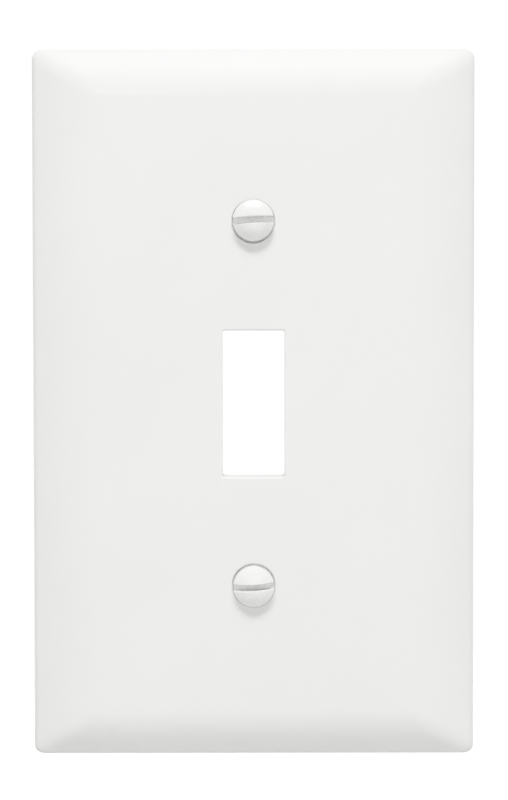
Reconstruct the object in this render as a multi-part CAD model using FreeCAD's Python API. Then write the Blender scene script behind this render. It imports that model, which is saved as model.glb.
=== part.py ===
import FreeCAD, Part
import math
import os
from FreeCAD import Vector

# One-gang toggle wall plate with its two oval-head screws and their captive washers.
# Millimetres. Origin on the wall plane, midway between the two screw axes.
# +X right, +Y into the wall, +Z up; the face looks along -Y.

# Plate moulding
PLATE_WIDTH = 74.61
PLATE_HEIGHT = 119.06
PLATE_DEPTH = 5.7
FACE_THICKNESS = 2.4
RIM_WALL = 2.0
CORNER_RADIUS = 1.6
RIM_EDGE_RADIUS = 0.6
CREASE_RADIUS = 5.0
CAVITY_CORNER_RADIUS = 0.8

# Curved border: a convex arc leaving the flat face, then a straight rake down to the rim
BORDER_DROP = 2.5
END_BORDER_WIDTH = 8.2
END_ARC_SHARE = 0.68
SIDE_BORDER_WIDTH = 11.0
SIDE_ARC_SHARE = 0.8
START_SLOPE = math.radians(2.0)
STEEPEST_SLOPE = math.radians(60.0)

# Toggle opening
OPENING_WIDTH = 10.4
OPENING_HEIGHT = 24.4
OPENING_CORNER_RADIUS = 0.4
OPENING_EDGE_RADIUS = 0.25
COLLAR_WALL = 1.2
COLLAR_HEIGHT = 0.9

# Stiffening ribs moulded on the back of the face, clear of the switch strap
RIB_THICKNESS = 1.0
RIB_HEIGHT = 1.2
LONG_RIB_X = 22.0
LONG_RIB_LENGTH = 92.0
CROSS_RIB_Z = (-40.0, -14.0, 14.0, 40.0)

# Screw seats in the face
SCREW_SPACING = 60.325
SEAT_RADIUS = 3.7
HOLE_RADIUS = 1.95
SEAT_HALF_ANGLE = 41.0

# No. 6-32 slotted oval-head screw, standing one turn short of its seat
HEAD_RADIUS = 3.5
HEAD_RIM = 0.15
DOME_HEIGHT = 1.14
SCREW_LENGTH = 15.9
SLOT_WIDTH = 1.1
SLOT_DEPTH = 1.4
SLOT_TURN = 3.0
THREAD_RADIUS = 1.7526
PITCH = 25.4 / 32
THREAD_DEPTH = 0.54127 * PITCH
ROOT_FLAT = PITCH / 4
FLANK_HALF_ANGLE = 30.0
NECK_RADIUS = 1.28
STANDOFF = PITCH
NECK_LENGTH = 2.64 + STANDOFF
TIP_CHAMFER = 0.3
LEAD_IN = 1.25 * PITCH
SEAT_CLEARANCE = 0.05

# Captive fibre washer behind the plate, held on the screw's neck by the wider thread
WASHER_RADIUS = 3.2
WASHER_THICKNESS = 0.6
WASHER_CLEARANCE = 0.05
FREE_TURNS = 2

X = Vector(1, 0, 0)
Y = Vector(0, 1, 0)
Z = Vector(0, 0, 1)
FACE_Y = -PLATE_DEPTH
INNER_Y = FACE_Y + FACE_THICKNESS
CUT_OVERRUN = 1.0
GROOVE_OVERRUN = 0.03
THIN = 0.01
PARALLEL = 0.999
LEVEL_RISE = BORDER_DROP / 8
BISECTIONS = 50


def border_fall(angle, width, arc_share):
    """Total drop of a border whose arc ends, and whose straight part runs, at this slope."""
    arc_height = math.cos(START_SLOPE) - math.cos(angle)
    arc_run = math.sin(angle) - math.sin(START_SLOPE)
    arc_width = arc_share * width
    return arc_width * arc_height / arc_run + (width - arc_width) * math.tan(angle)


def rake_angle(width, arc_share):
    """Slope of the straight part of a border of this width, so that it drops BORDER_DROP."""
    low = 2 * START_SLOPE
    high = STEEPEST_SLOPE
    for _ in range(BISECTIONS):
        middle = (low + high) / 2
        if border_fall(middle, width, arc_share) < BORDER_DROP:
            low = middle
        else:
            high = middle
    return low


def border_prism(half, border, inset, front_y, across, along, length):
    """A bar whose section is flat in front and falls away to both sides in the border curve."""
    border_width, arc_share = border
    angle = rake_angle(border_width, arc_share)
    arc_width = arc_share * border_width
    radius = arc_width / (math.sin(angle) - math.sin(START_SLOPE))
    middle_angle = (angle + START_SLOPE) / 2
    edge = half - inset
    slope_start = half - border_width + arc_width
    flat_end = half - border_width
    arc_fall = radius * (math.cos(START_SLOPE) - math.cos(angle))
    arc_middle = radius * (math.sin(middle_angle) - math.sin(START_SLOPE))
    middle_fall = radius * (math.cos(START_SLOPE) - math.cos(middle_angle))
    edge_fall = arc_fall + (edge - slope_start) * math.tan(angle)

    def at(offset, depth):
        return across * offset + Y * depth - along * (length / 2)

    back_l = at(-edge, 0)
    back_r = at(edge, 0)
    rim_l = at(-edge, front_y + edge_fall)
    rim_r = at(edge, front_y + edge_fall)
    slope_l = at(-slope_start, front_y + arc_fall)
    slope_r = at(slope_start, front_y + arc_fall)
    arc_l = at(-flat_end - arc_middle, front_y + middle_fall)
    arc_r = at(flat_end + arc_middle, front_y + middle_fall)
    flat_l = at(-flat_end, front_y)
    flat_r = at(flat_end, front_y)
    edges = [
        Part.makeLine(back_l, rim_l),
        Part.makeLine(rim_l, slope_l),
        Part.Arc(slope_l, arc_l, flat_l).toShape(),
        Part.makeLine(flat_l, flat_r),
        Part.Arc(flat_r, arc_r, slope_r).toShape(),
        Part.makeLine(slope_r, rim_r),
        Part.makeLine(rim_r, back_r),
        Part.makeLine(back_r, back_l),
    ]
    return Part.Face(Part.Wire(edges)).extrude(along * length)


def centred_box(width, height, y_from, y_to):
    """A box centred on the Y axis, between two depths."""
    return Part.makeBox(width, y_to - y_from, height, Vector(-width / 2, y_from, -height / 2))


def edges_along(shape, direction):
    """Straight edges of a shape that run along one direction."""
    found = []
    for edge in shape.Edges:
        if isinstance(edge.Curve, Part.Line):
            if abs(edge.Curve.Direction.dot(direction)) > PARALLEL:
                found.append(edge)
    return found


def pillow(inset, front_y, corner_radius):
    """The plate's outer form, or the same form shrunk by the wall for its hollow."""
    width = PLATE_WIDTH - 2 * inset
    height = PLATE_HEIGHT - 2 * inset
    outline = centred_box(width, height, front_y, 0)
    outline = outline.makeFillet(corner_radius, edges_along(outline, Y))
    side_border = (SIDE_BORDER_WIDTH, SIDE_ARC_SHARE)
    end_border = (END_BORDER_WIDTH, END_ARC_SHARE)
    sides = border_prism(PLATE_WIDTH / 2, side_border, inset, front_y, X, Z, height)
    ends = border_prism(PLATE_HEIGHT / 2, end_border, inset, front_y, Z, X, width)
    return outline.common(sides).common(ends)


def mitre_edges(body):
    """The creases where a side border meets an end border, up to the rim."""
    found = []
    for edge in body.Edges:
        box = edge.BoundBox
        steep = box.YLength > LEVEL_RISE
        if steep and box.XLength > THIN and box.ZLength > THIN:
            found.append(edge)
    return found


def flat_edges(body):
    """The four long edges round the flat of the face."""
    found = []
    for edge in body.Edges:
        box = edge.BoundBox
        in_face = box.YMax < FACE_Y + THIN
        if in_face and edge.Length > PLATE_WIDTH / 2:
            found.append(edge)
    return found


def rim_edges(body):
    """The edges where the border meets the rim wall, straight sides and rounded corners."""
    found = []
    for edge in body.Edges:
        box = edge.BoundBox
        reach_x = max(abs(box.XMin), abs(box.XMax))
        reach_z = max(abs(box.ZMin), abs(box.ZMax))
        at_side = reach_x > PLATE_WIDTH / 2 - CORNER_RADIUS - THIN
        at_end = reach_z > PLATE_HEIGHT / 2 - CORNER_RADIUS - THIN
        level = box.YLength < LEVEL_RISE and box.YMax < -THIN
        if (at_side or at_end) and level and box.YMin > FACE_Y + THIN:
            found.append(edge)
    return found


def opening_cutter():
    """The toggle opening, right through the face and its collar."""
    through = centred_box(OPENING_WIDTH, OPENING_HEIGHT, FACE_Y - CUT_OVERRUN, CUT_OVERRUN)
    return through.makeFillet(OPENING_CORNER_RADIUS, edges_along(through, Y))


def opening_front_edges(body):
    """The edges of the opening in the flat of the face."""
    found = []
    for edge in body.Edges:
        box = edge.BoundBox
        in_face = box.YMax < FACE_Y + THIN
        near_x = max(abs(box.XMin), abs(box.XMax)) < OPENING_WIDTH / 2 + CUT_OVERRUN
        near_z = max(abs(box.ZMin), abs(box.ZMax)) < OPENING_HEIGHT / 2 + CUT_OVERRUN
        if in_face and near_x and near_z:
            found.append(edge)
    return found


def collar():
    """Low wall round the opening on the back of the face."""
    outer_width = OPENING_WIDTH + 2 * COLLAR_WALL
    outer_height = OPENING_HEIGHT + 2 * COLLAR_WALL
    return centred_box(outer_width, outer_height, INNER_Y - CUT_OVERRUN, INNER_Y + COLLAR_HEIGHT)


def ribs():
    """Two long ribs beside the strap and four pairs of short ribs out to the side walls."""
    bars = []
    depth = RIB_HEIGHT + CUT_OVERRUN
    base_y = INNER_Y - CUT_OVERRUN
    reach = PLATE_WIDTH / 2 - RIM_WALL / 2 - LONG_RIB_X
    for side in (-1, 1):
        corner = Vector(side * LONG_RIB_X - RIB_THICKNESS / 2, base_y, -LONG_RIB_LENGTH / 2)
        bars.append(Part.makeBox(RIB_THICKNESS, depth, LONG_RIB_LENGTH, corner))
        start = LONG_RIB_X if side > 0 else -LONG_RIB_X - reach
        for level in CROSS_RIB_Z:
            corner = Vector(start, base_y, level - RIB_THICKNESS / 2)
            bars.append(Part.makeBox(reach, depth, RIB_THICKNESS, corner))
    return bars


def screw_seat(level):
    """Countersink and clearance hole for one screw."""
    cone_depth = (SEAT_RADIUS - HOLE_RADIUS) / math.tan(math.radians(SEAT_HALF_ANGLE))
    front = Vector(0, FACE_Y, level)
    cone = Part.makeCone(SEAT_RADIUS, HOLE_RADIUS, cone_depth, front, Y)
    mouth = Part.makeCylinder(SEAT_RADIUS, CUT_OVERRUN, front - Y * CUT_OVERRUN, Y)
    hole = Part.makeCylinder(HOLE_RADIUS, PLATE_DEPTH, front, Y)
    return cone.fuse(mouth).fuse(hole)


def face_plate():
    """The whole moulding: pillow-edged shell, collar, ribs, opening and screw seats."""
    body = pillow(0, FACE_Y, CORNER_RADIUS)
    body = body.makeFillet(CREASE_RADIUS, mitre_edges(body) + flat_edges(body))
    body = body.makeFillet(RIM_EDGE_RADIUS, rim_edges(body))
    body = body.cut(pillow(RIM_WALL, INNER_Y, CAVITY_CORNER_RADIUS))
    stiffeners = collar().fuse(ribs()).common(pillow(0, FACE_Y, CORNER_RADIUS))
    body = body.fuse(stiffeners)
    body = body.cut(opening_cutter())
    body = body.makeFillet(OPENING_EDGE_RADIUS, opening_front_edges(body))
    for side in (-1, 1):
        body = body.cut(screw_seat(side * SCREW_SPACING / 2))
    return body.removeSplitter()


def threaded_shank(length):
    """Rod along +Z from its tip at 0, with a right-hand 60 degree thread cut into it."""
    rod = Part.makeCylinder(THREAD_RADIUS, length - TIP_CHAMFER, Z * TIP_CHAMFER)
    rod = rod.fuse(Part.makeCone(THREAD_RADIUS - TIP_CHAMFER, THREAD_RADIUS, TIP_CHAMFER))
    root_radius = THREAD_RADIUS - THREAD_DEPTH
    crest_over = THREAD_RADIUS + GROOVE_OVERRUN
    half_root = ROOT_FLAT / 2
    half_top = half_root + (crest_over - root_radius) * math.tan(math.radians(FLANK_HALF_ANGLE))
    helix = Part.makeHelix(PITCH, length + 2 * LEAD_IN, root_radius)
    helix.translate(Z * -LEAD_IN)
    groove = Part.makePolygon([
        Vector(root_radius, 0, -LEAD_IN - half_root),
        Vector(root_radius, 0, -LEAD_IN + half_root),
        Vector(crest_over, 0, -LEAD_IN + half_top),
        Vector(crest_over, 0, -LEAD_IN - half_top),
        Vector(root_radius, 0, -LEAD_IN - half_root),
    ])
    return rod.cut(Part.Wire(helix).makePipeShell([groove], True, True))


def oval_head():
    """Head along +Z: countersunk cone, narrow rim, raised dome, screwdriver slot."""
    cone_height = (HEAD_RADIUS - THREAD_RADIUS) / math.tan(math.radians(SEAT_HALF_ANGLE))
    cone = Part.makeCone(THREAD_RADIUS, HEAD_RADIUS, cone_height)
    rim = Part.makeCylinder(HEAD_RADIUS, HEAD_RIM, Z * cone_height)
    dome_radius = (HEAD_RADIUS ** 2 + DOME_HEIGHT ** 2) / (2 * DOME_HEIGHT)
    rim_top = cone_height + HEAD_RIM
    ball = Part.makeSphere(dome_radius, Z * (rim_top + DOME_HEIGHT - dome_radius))
    dome = ball.common(Part.makeCylinder(HEAD_RADIUS, 2 * DOME_HEIGHT, Z * rim_top))
    head = cone.fuse(rim).fuse(dome).removeSplitter()
    slot_floor = rim_top + DOME_HEIGHT - SLOT_DEPTH
    corner = Vector(-HEAD_RADIUS - CUT_OVERRUN, -SLOT_WIDTH / 2, slot_floor)
    slot = Part.makeBox(2 * (HEAD_RADIUS + CUT_OVERRUN), SLOT_WIDTH, SLOT_DEPTH * 2, corner)
    slot.rotate(Vector(0, 0, 0), Z, SLOT_TURN)
    return head.cut(slot)


def screw(level):
    """Screw in the plate, a turn short of its seat: built head up along +Z, then turned to -Y."""
    cone_height = (HEAD_RADIUS - THREAD_RADIUS) / math.tan(math.radians(SEAT_HALF_ANGLE))
    shank_length = SCREW_LENGTH - HEAD_RIM - cone_height
    thread_length = shank_length - NECK_LENGTH
    shank = threaded_shank(thread_length)
    neck = Part.makeCylinder(NECK_RADIUS, NECK_LENGTH, Z * thread_length)
    head = oval_head()
    head.translate(Z * shank_length)
    body = shank.fuse(neck).fuse(head)
    body.rotate(Vector(0, 0, 0), X, 90)
    sink = (SEAT_RADIUS - HEAD_RADIUS) / math.tan(math.radians(SEAT_HALF_ANGLE))
    gap = SEAT_CLEARANCE / math.sin(math.radians(SEAT_HALF_ANGLE))
    rim_y = FACE_Y + sink - gap - STANDOFF
    body.translate(Vector(0, rim_y + shank_length + cone_height, level))
    return body


def retainer(level):
    """Fibre washer on the screw's neck, two turns of thread behind the back of the face."""
    front = INNER_Y + FREE_TURNS * PITCH + WASHER_CLEARANCE
    disc = Part.makeCylinder(WASHER_RADIUS, WASHER_THICKNESS, Vector(0, front, level), Y)
    bore_radius = NECK_RADIUS + WASHER_CLEARANCE
    bore = Part.makeCylinder(bore_radius, WASHER_THICKNESS, Vector(0, front, level), Y)
    return disc.cut(bore)


def solid_of(shape):
    """The shape as one valid solid, or an error."""
    solids = shape.Solids
    if len(solids) != 1 or not solids[0].isValid():
        raise ValueError("a node is not one valid solid")
    return solids[0]


def main():
    os.makedirs("parts", exist_ok=True)
    nodes = {
        "face_plate": face_plate(),
        "upper_screw": screw(SCREW_SPACING / 2),
        "lower_screw": screw(-SCREW_SPACING / 2),
        "upper_retainer": retainer(SCREW_SPACING / 2),
        "lower_retainer": retainer(-SCREW_SPACING / 2),
    }
    for name, shape in nodes.items():
        solid_of(shape).exportStep("parts/" + name + ".step")


main()
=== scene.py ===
import math

import bpy
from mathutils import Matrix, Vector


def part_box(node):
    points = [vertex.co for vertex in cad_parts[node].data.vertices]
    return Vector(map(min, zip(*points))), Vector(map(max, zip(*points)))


# Looks of a one-gang wall plate, its two painted screws and their washers, in a white studio.
# Metres, in the CAD's frame: +X right, +Y into the wall, +Z up, with the camera in front at -Y.

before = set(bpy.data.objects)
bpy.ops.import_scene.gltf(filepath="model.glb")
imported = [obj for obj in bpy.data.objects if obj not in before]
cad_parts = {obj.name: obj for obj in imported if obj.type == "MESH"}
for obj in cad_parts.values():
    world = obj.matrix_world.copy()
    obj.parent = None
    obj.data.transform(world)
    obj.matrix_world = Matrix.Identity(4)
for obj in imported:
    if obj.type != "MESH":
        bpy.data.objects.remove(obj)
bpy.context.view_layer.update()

MM = 0.001

plate_low, plate_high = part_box("face_plate")
screw_low, screw_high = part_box("upper_screw")

# Rounding of the plate's shading. It grows between two distances in from the plate's edge,
# and it stops between two depths behind the face.
BORDER_SOFTENING = 1.7 * MM
EDGE_SOFTENING = 0.05 * MM
SIDE_FADE = (15 * MM, 9 * MM)
END_FADE = (12 * MM, 7 * MM)
DEPTH_FADE = (2.4 * MM, 2.7 * MM)

# Screws. Depths are behind the top of the dome. SLOT_FLOOR is measured from the slot's centre
# line, and RIM_RING inwards from the head's radius.
SLOT_TURN = math.radians(3.0)
# Painted shade on the slot floor: where it lies across the slot, and how much of the shade grey it
# takes
SLOT_FLOOR = (0.46 * MM, 0.52 * MM)
SLOT_SHADE_SHARE = 0.22
# Painted shade: a grey ring just inside the head's rim stands for the shade in the gap around the
# head, with less of it below the rim (BELOW_RIM_SHARE)
RIM_RING = (0.16 * MM, 0.04 * MM)
RIM_SHADE_SHARE = 0.75
BELOW_RIM_SHARE = 0.35
RIM_DEPTH = 1.14 * MM
RIM_DEPTH_FADE = 0.10 * MM
NECK_DEPTH = 3.3 * MM
COAT_EDGE_WANDER = 0.25 * MM
COAT_EDGE_FADE = 0.25 * MM
HEAD_ROUNDING = 0.20 * MM
SHANK_ROUNDING = 0.02 * MM
ROUNDING_FADE = 0.3 * MM

# Parts of a noise's range over which a shade or a roughness changes
NOISE_SPAN = (0.3, 0.7)
NOISE_MIDDLE = (0.35, 0.65)
NOISE_HIGH = (0.66, 0.78)
NOISE_UPPER = (0.4, 0.7)

# Roughness from one end of a noise to the other
CLOUD_ROUGH = (0.46, 0.52)
SPECK_ROUGH = (0.0, 0.05)
COAT_ROUGH = (0.22, 0.30)
SHANK_ROUGH = (0.05, 0.22)
FIBRE_ROUGH = (0.68, 0.86)
PAPER_ROUGH = 0.8

# Strength and height of each texture's relief
ORANGE_PEEL_BUMP = (0.10, 0.05 * MM)
FINE_BUMP = (0.12, 0.02 * MM)
COAT_BUMP = (0.12, 0.04 * MM)
WEAR_BUMP = (0.10, 0.01 * MM)
STRAND_BUMP = (0.3, 0.05 * MM)

# Refraction and scatter
NYLON_IOR = 1.46
ENAMEL_IOR = 1.50
NYLON_SCATTER_WEIGHT = 0.25
NYLON_SCATTER_DEPTH = 1.0 * MM

# How much of the rubbed or patchy shade shows at most
RUBBED_SHARE = 0.25
PATCH_SHARE = 0.5
STRAND_STRETCH = (1.0, 3.0, 0.25)
BEVEL_SAMPLES = 8

NYLON_SHADES = ((0.800, 0.800, 0.780), (0.822, 0.821, 0.806))
NYLON_RUBBED = (0.76, 0.755, 0.735)
NYLON_SCATTER = (1.0, 0.95, 0.85)
ENAMEL_SHADES = ((0.80, 0.80, 0.785), (0.83, 0.83, 0.815))
# Grey of the painted shade in the ring at the head's rim and on the slot floor
SLOT_AND_RIM_SHADE = (0.30, 0.30, 0.29)
ZINC_SHADES = ((0.50, 0.52, 0.54), (0.66, 0.68, 0.70))
FIBRE_SHADES = ((0.20, 0.060, 0.035), (0.36, 0.125, 0.075))
FIBRE_PATCH = (0.42, 0.17, 0.11)
PAPER_SHADES = ((0.70, 0.70, 0.70), (0.73, 0.73, 0.73))
WHITE_LIGHT = (1.0, 1.0, 1.0)

# ---------------------------------------------------------------- material helpers


class Tree:
    """A material's node tree with short ways to add and join nodes."""

    def __init__(self, name):
        self.material = bpy.data.materials.new(name)
        self.material.use_nodes = True
        self.nodes = self.material.node_tree.nodes
        self.links = self.material.node_tree.links
        self.shader = self.nodes["Principled BSDF"]
        self.place = self.nodes.new("ShaderNodeTexCoord").outputs["Object"]

    def add(self, kind, **settings):
        """A node, with its own properties and its sockets' values set by name."""
        node = self.nodes.new(kind)
        for key, value in settings.items():
            if hasattr(node, key):
                setattr(node, key, value)
            else:
                node.inputs[key].default_value = value
        return node

    def join(self, source, target):
        self.links.new(source, target)

    def noise(self, scale, detail, rough, place=None):
        node = self.add("ShaderNodeTexNoise", Scale=scale, Detail=detail, Roughness=rough)
        self.join(place or self.place, node.inputs["Vector"])
        return node.outputs["Fac"]

    def ramp(self, source, low, high, out_low=0.0, out_high=1.0):
        """Straight change from one value to another, level before and after."""
        node = self.add("ShaderNodeMapRange", clamp=True)
        node.inputs["From Min"].default_value = low
        node.inputs["From Max"].default_value = high
        node.inputs["To Min"].default_value = out_low
        node.inputs["To Max"].default_value = out_high
        self.join(source, node.inputs["Value"])
        return node.outputs["Result"]

    def math(self, operation, a, b=0.0):
        node = self.add("ShaderNodeMath", operation=operation)
        for socket, value in zip(node.inputs, (a, b)):
            if isinstance(value, (int, float)):
                socket.default_value = value
            else:
                self.join(value, socket)
        return node.outputs[0]

    def mix_colour(self, factor, first, second):
        node = self.add("ShaderNodeMix", data_type="RGBA")
        self.join(factor, node.inputs["Factor"])
        for name, value in (("A", first), ("B", second)):
            socket = [s for s in node.inputs if s.name == name and s.type == "RGBA"][0]
            if isinstance(value, tuple):
                socket.default_value = (*value, 1.0)
            else:
                self.join(value, socket)
        return [s for s in node.outputs if s.type == "RGBA"][0]

    def bump(self, height, strength, distance, under=None):
        node = self.add("ShaderNodeBump", Strength=strength, Distance=distance)
        self.join(height, node.inputs["Height"])
        if under is not None:
            self.join(under, node.inputs["Normal"])
        return node.outputs["Normal"]

    def axis(self, name):
        node = self.add("ShaderNodeSeparateXYZ")
        self.join(self.place, node.inputs[0])
        return node.outputs[name]

    def off_middle(self, name):
        return self.math("ABSOLUTE", self.axis(name))

    def radius_about(self, height):
        """Distance from the nearer of two axes along Y, this far above and below the middle."""
        across = self.axis("X")
        along = self.math("SUBTRACT", self.off_middle("Z"), height)
        squares = self.math(
            "ADD", self.math("MULTIPLY", across, across), self.math("MULTIPLY", along, along)
        )
        return self.math("SQRT", squares)

    def off_slot_through(self, height, turn):
        """Distance from the line of a turned slot that crosses the nearer of those axes."""
        upper = self.math("GREATER_THAN", self.axis("Z"), 0.0)
        lower = self.math("SUBTRACT", 1.0, upper)
        along = self.math(
            "ADD",
            self.math("MULTIPLY", upper, self.math("SUBTRACT", self.axis("Z"), height)),
            self.math("MULTIPLY", lower, self.math("ADD", self.axis("Z"), height)),
        )
        leaning = self.math(
            "SUBTRACT",
            self.math("MULTIPLY", along, math.cos(turn)),
            self.math("MULTIPLY", self.axis("X"), math.sin(turn)),
        )
        return self.math("ABSOLUTE", leaning)

    def soft_edges(self, radius):
        """Normal that rounds edges off over a radius that may vary."""
        node = self.add("ShaderNodeBevel", samples=BEVEL_SAMPLES)
        self.join(radius, node.inputs["Radius"])
        return node.outputs["Normal"]

    def set(self, name, value):
        """Set a socket of the shader to a number, a colour or another node's output."""
        socket = self.shader.inputs[name]
        if isinstance(value, (int, float)):
            socket.default_value = value
        elif isinstance(value, tuple):
            socket.default_value = (*value, 1.0)[:len(socket.default_value)]
        else:
            self.join(value, socket)


# ---------------------------------------------------------------- materials


def border_rounding(t):
    """Radius that is wide over the sloping border in front and small elsewhere."""
    across = t.ramp(
        t.off_middle("X"), plate_high.x - SIDE_FADE[0], plate_high.x - SIDE_FADE[1]
    )
    up = t.ramp(t.off_middle("Z"), plate_high.z - END_FADE[0], plate_high.z - END_FADE[1])
    front = t.ramp(
        t.axis("Y"), plate_low.y + DEPTH_FADE[0], plate_low.y + DEPTH_FADE[1], 1.0, 0.0
    )
    border = t.math("MULTIPLY", t.math("MAXIMUM", across, up), front)
    return t.math("ADD", t.math("MULTIPLY", border, BORDER_SOFTENING), EDGE_SOFTENING)


def nylon():
    """White moulded nylon: satin skin with a fine mould texture and faint flow clouding."""
    t = Tree("white_nylon_moulded")
    cloud = t.noise(scale=38.0, detail=4.0, rough=0.55)
    speck = t.noise(scale=900.0, detail=2.0, rough=0.6)
    orange_peel = t.noise(scale=420.0, detail=2.0, rough=0.5)
    fine = t.noise(scale=2600.0, detail=2.0, rough=0.5)
    tint = t.mix_colour(t.ramp(cloud, *NOISE_MIDDLE), *NYLON_SHADES)
    rubbed = t.ramp(speck, *NOISE_HIGH, 0.0, RUBBED_SHARE)
    t.set("Base Color", t.mix_colour(rubbed, tint, NYLON_RUBBED))
    cloud_rough = t.ramp(cloud, *NOISE_SPAN, *CLOUD_ROUGH)
    speck_rough = t.ramp(speck, *NOISE_SPAN, *SPECK_ROUGH)
    t.set("Roughness", t.math("ADD", cloud_rough, speck_rough))
    t.set("IOR", NYLON_IOR)
    t.set("Subsurface Weight", NYLON_SCATTER_WEIGHT)
    t.set("Subsurface Radius", NYLON_SCATTER)
    t.set("Subsurface Scale", NYLON_SCATTER_DEPTH)
    skin = t.bump(orange_peel, *ORANGE_PEEL_BUMP, t.soft_edges(border_rounding(t)))
    t.set("Normal", t.bump(fine, *FINE_BUMP, skin))
    return t.material


def screw_finish():
    """White enamel on the heads, with painted shade in a ring at the rim and on the slot floor,
    and zinc on the shanks.
    """
    t = Tree("screw_enamel_and_zinc")
    axis_z = (screw_low.z + screw_high.z) / 2
    head_radius = (screw_high.x - screw_low.x) / 2
    neck_y = screw_low.y + NECK_DEPTH
    rim_y = screw_low.y + RIM_DEPTH
    coat = t.noise(scale=1500.0, detail=3.0, rough=0.5)
    wear = t.noise(scale=5200.0, detail=4.0, rough=0.65)

    wander = t.ramp(coat, *NOISE_SPAN, -COAT_EDGE_WANDER, COAT_EDGE_WANDER)
    shank = t.ramp(t.math("ADD", t.axis("Y"), wander), neck_y, neck_y + COAT_EDGE_FADE)
    # Painted shade: a grey ring at the head's rim, weaker below the rim, and a darkened slot
    # floor, mixed into the enamel
    ring_start, ring_end = (head_radius - inset for inset in RIM_RING)
    ring = t.ramp(t.radius_about(axis_z), ring_start, ring_end, 0.0, RIM_SHADE_SHARE)
    before_rim = t.ramp(t.axis("Y"), rim_y, rim_y + RIM_DEPTH_FADE, 1.0, BELOW_RIM_SHARE)
    slot = t.ramp(t.off_slot_through(axis_z, SLOT_TURN), *SLOT_FLOOR, SLOT_SHADE_SHARE, 0.0)
    painted_shade = t.math("MAXIMUM", t.math("MULTIPLY", ring, before_rim), slot)

    enamel = t.mix_colour(t.ramp(coat, *NOISE_MIDDLE), *ENAMEL_SHADES)
    zinc = t.mix_colour(t.ramp(wear, *NOISE_SPAN), *ZINC_SHADES)
    t.set("Base Color", t.mix_colour(shank, t.mix_colour(painted_shade, enamel, SLOT_AND_RIM_SHADE), zinc))
    t.set("Metallic", shank)
    coat_rough = t.ramp(coat, *NOISE_SPAN, *COAT_ROUGH)
    shank_rough = t.math("MULTIPLY", shank, t.ramp(wear, *NOISE_SPAN, *SHANK_ROUGH))
    t.set("Roughness", t.math("ADD", coat_rough, shank_rough))
    t.set("IOR", ENAMEL_IOR)
    rounding = t.ramp(t.axis("Y"), neck_y - ROUNDING_FADE, neck_y, HEAD_ROUNDING, SHANK_ROUNDING)
    skin = t.bump(coat, *COAT_BUMP, t.soft_edges(rounding))
    t.set("Normal", t.bump(wear, *WEAR_BUMP, skin))
    return t.material


def fibre():
    """Red-brown vulcanised fibre, matte, with short pressed strands."""
    t = Tree("washer_pressed_fibre")
    stretch = t.add("ShaderNodeMapping", Scale=STRAND_STRETCH)
    t.join(t.place, stretch.inputs["Vector"])
    strands = t.noise(5000.0, 4.0, 0.6, stretch.outputs["Vector"])
    patches = t.noise(scale=1300.0, detail=2.0, rough=0.5)
    base = t.mix_colour(t.ramp(strands, *NOISE_SPAN), *FIBRE_SHADES)
    patch = t.ramp(patches, *NOISE_UPPER, 0.0, PATCH_SHARE)
    t.set("Base Color", t.mix_colour(patch, base, FIBRE_PATCH))
    t.set("Roughness", t.ramp(strands, *NOISE_SPAN, *FIBRE_ROUGH))
    t.set("Normal", t.bump(strands, *STRAND_BUMP))
    return t.material


def dress(names, material):
    for name in names:
        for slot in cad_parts[name].material_slots:
            slot.material = material


dress(("face_plate",), nylon())
dress(("upper_screw", "lower_screw"), screw_finish())
dress(("upper_retainer", "lower_retainer"), fibre())

# ---------------------------------------------------------------- studio

# Floor disc, and how strongly it glows: dim under the plate, paler outwards, white behind
FLOOR_DEPTH = 0.60
FLOOR_RADIUS = 1.8
FLOOR_SIDES = 96
WHITE = 1.5
DIM = 0.12
PALE = 0.65
OUTWARD_FADE = (0.8, 1.7)
BEHIND_FADE = (0.2, 0.95)

# Light that the white surroundings cast, lower than the white that the camera sees
SURROUNDING_LIGHT = 0.12

# Name, azimuth (0 in front, 90 to the right) and elevation in degrees, distance, width and
# height in metres, power in watts, and spread in degrees
SOFTBOXES = (
    ("front_softbox", 6.0, 2.0, 0.9, (0.7, 0.8), 3.4, 180.0),
    ("top_softbox", 0.0, 65.0, 1.4, (0.9, 0.25), 22.0, 180.0),
    ("back_left_softbox", -128.0, -12.0, 1.1, (0.7, 0.6), 1.35, 70.0),
    ("back_right_softbox", 128.0, -12.0, 1.1, (0.7, 0.6), 1.35, 70.0),
)


def paper():
    """Plain pale paper that glows: dimly under the plate, fading up to the white of the
    surroundings away from it.
    """
    t = Tree("studio_paper")
    grain = t.noise(scale=6.0, detail=2.0, rough=0.5)
    t.set("Base Color", t.mix_colour(grain, *PAPER_SHADES))
    t.set("Roughness", PAPER_ROUGH)
    t.set("Emission Color", WHITE_LIGHT)
    away = t.add("ShaderNodeVectorMath", operation="LENGTH")
    t.join(t.place, away.inputs[0])
    outward = t.ramp(away.outputs["Value"], *OUTWARD_FADE, DIM, PALE)
    behind = t.ramp(t.axis("Y"), *BEHIND_FADE, 0.0, WHITE)
    t.set("Emission Strength", t.math("MAXIMUM", behind, outward))
    return t.material


def floor():
    """Wide round floor a little way below the plate."""
    mesh = bpy.data.meshes.new("studio_floor")
    level = plate_low.z - FLOOR_DEPTH
    turns = [2 * math.pi * i / FLOOR_SIDES for i in range(FLOOR_SIDES)]
    rim = [(FLOOR_RADIUS * math.cos(turn), FLOOR_RADIUS * math.sin(turn), level) for turn in turns]
    mesh.from_pydata(rim, [], [tuple(range(FLOOR_SIDES))])
    obj = bpy.data.objects.new("studio_floor", mesh)
    obj.data.materials.append(paper())
    bpy.context.scene.collection.objects.link(obj)


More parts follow.
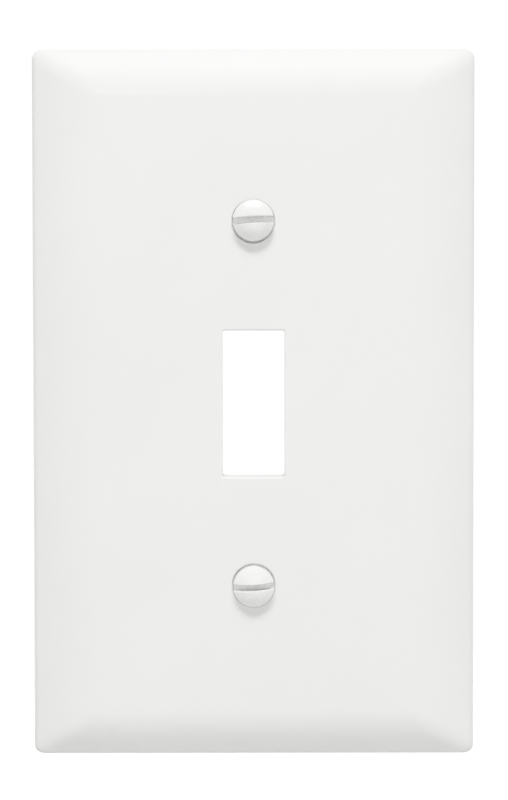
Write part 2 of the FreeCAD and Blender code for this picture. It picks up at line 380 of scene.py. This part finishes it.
def softbox(name, azimuth, elevation, distance, size, power, spread):
    """Rectangular lamp that the camera doesn't see, aimed at the plate's middle."""
    data = bpy.data.lights.new(name, "AREA")
    data.shape = "RECTANGLE"
    data.size, data.size_y = size
    data.energy = power
    data.spread = math.radians(spread)
    lamp = bpy.data.objects.new(name, data)
    turn, rise = math.radians(azimuth), math.radians(elevation)
    level = distance * math.cos(rise)
    lamp.location = (level * math.sin(turn), -level * math.cos(turn), distance * math.sin(rise))
    lamp.rotation_euler = (-lamp.location).to_track_quat("-Z", "Y").to_euler()
    lamp.visible_camera = False
    bpy.context.scene.collection.objects.link(lamp)


def surroundings(seen, cast):
    """Plain white all round: one strength to look at, another for the light it casts."""
    sky = bpy.data.worlds.new("studio_air")
    bpy.context.scene.world = sky
    sky.use_nodes = True
    nodes, links = sky.node_tree.nodes, sky.node_tree.links
    back = nodes["Background"]
    back.inputs["Color"].default_value = (*WHITE_LIGHT, 1.0)
    path = nodes.new("ShaderNodeLightPath")
    level = nodes.new("ShaderNodeMapRange")
    level.inputs["To Min"].default_value = cast
    level.inputs["To Max"].default_value = seen
    links.new(path.outputs["Is Camera Ray"], level.inputs["Value"])
    links.new(level.outputs["Result"], back.inputs["Strength"])


floor()
surroundings(WHITE, SURROUNDING_LIGHT)
for box in SOFTBOXES:
    softbox(*box)

# ---------------------------------------------------------------- camera

CAMERA_DISTANCE = 130.8 * MM
CAMERA_HEIGHT = 6.6 * MM
PITCH = 0.0113
ROLL = 0.0012
LENS = 35.55
SENSOR_WIDTH = 36.0
SHIFT_X = 0.0006
SHIFT_Y = -0.0339
CLIP_START = 5 * MM
CLIP_END = 20.0

camera = bpy.data.objects.new("camera", bpy.data.cameras.new("camera"))
camera.data.lens = LENS
camera.data.sensor_width = SENSOR_WIDTH
camera.data.shift_x = SHIFT_X
camera.data.shift_y = SHIFT_Y
camera.data.clip_start = CLIP_START
camera.data.clip_end = CLIP_END
camera.location = (0.0, plate_low.y - CAMERA_DISTANCE, CAMERA_HEIGHT)
camera.rotation_euler = (math.pi / 2 - PITCH, ROLL, 0.0)
bpy.context.scene.collection.objects.link(camera)
bpy.context.scene.camera = camera

# The view rolls the highlights off. Each pair is a strength of light and how it is shown.
WHITE_LEVEL = 1.4
ROLL_OFF = ((0.80, 0.80), (1.18, 0.95))
COMBINED_CURVE = 3

view = bpy.context.scene.view_settings
view.view_transform = "Standard"
view.look = "None"
view.use_curve_mapping = True
view.curve_mapping.white_level = (WHITE_LEVEL,) * 3
tone = view.curve_mapping.curves[COMBINED_CURVE]
for light_in, light_out in ROLL_OFF:
    tone.points.new(light_in / WHITE_LEVEL, light_out)
tone.points[0].handle_type = "VECTOR"
view.curve_mapping.update()
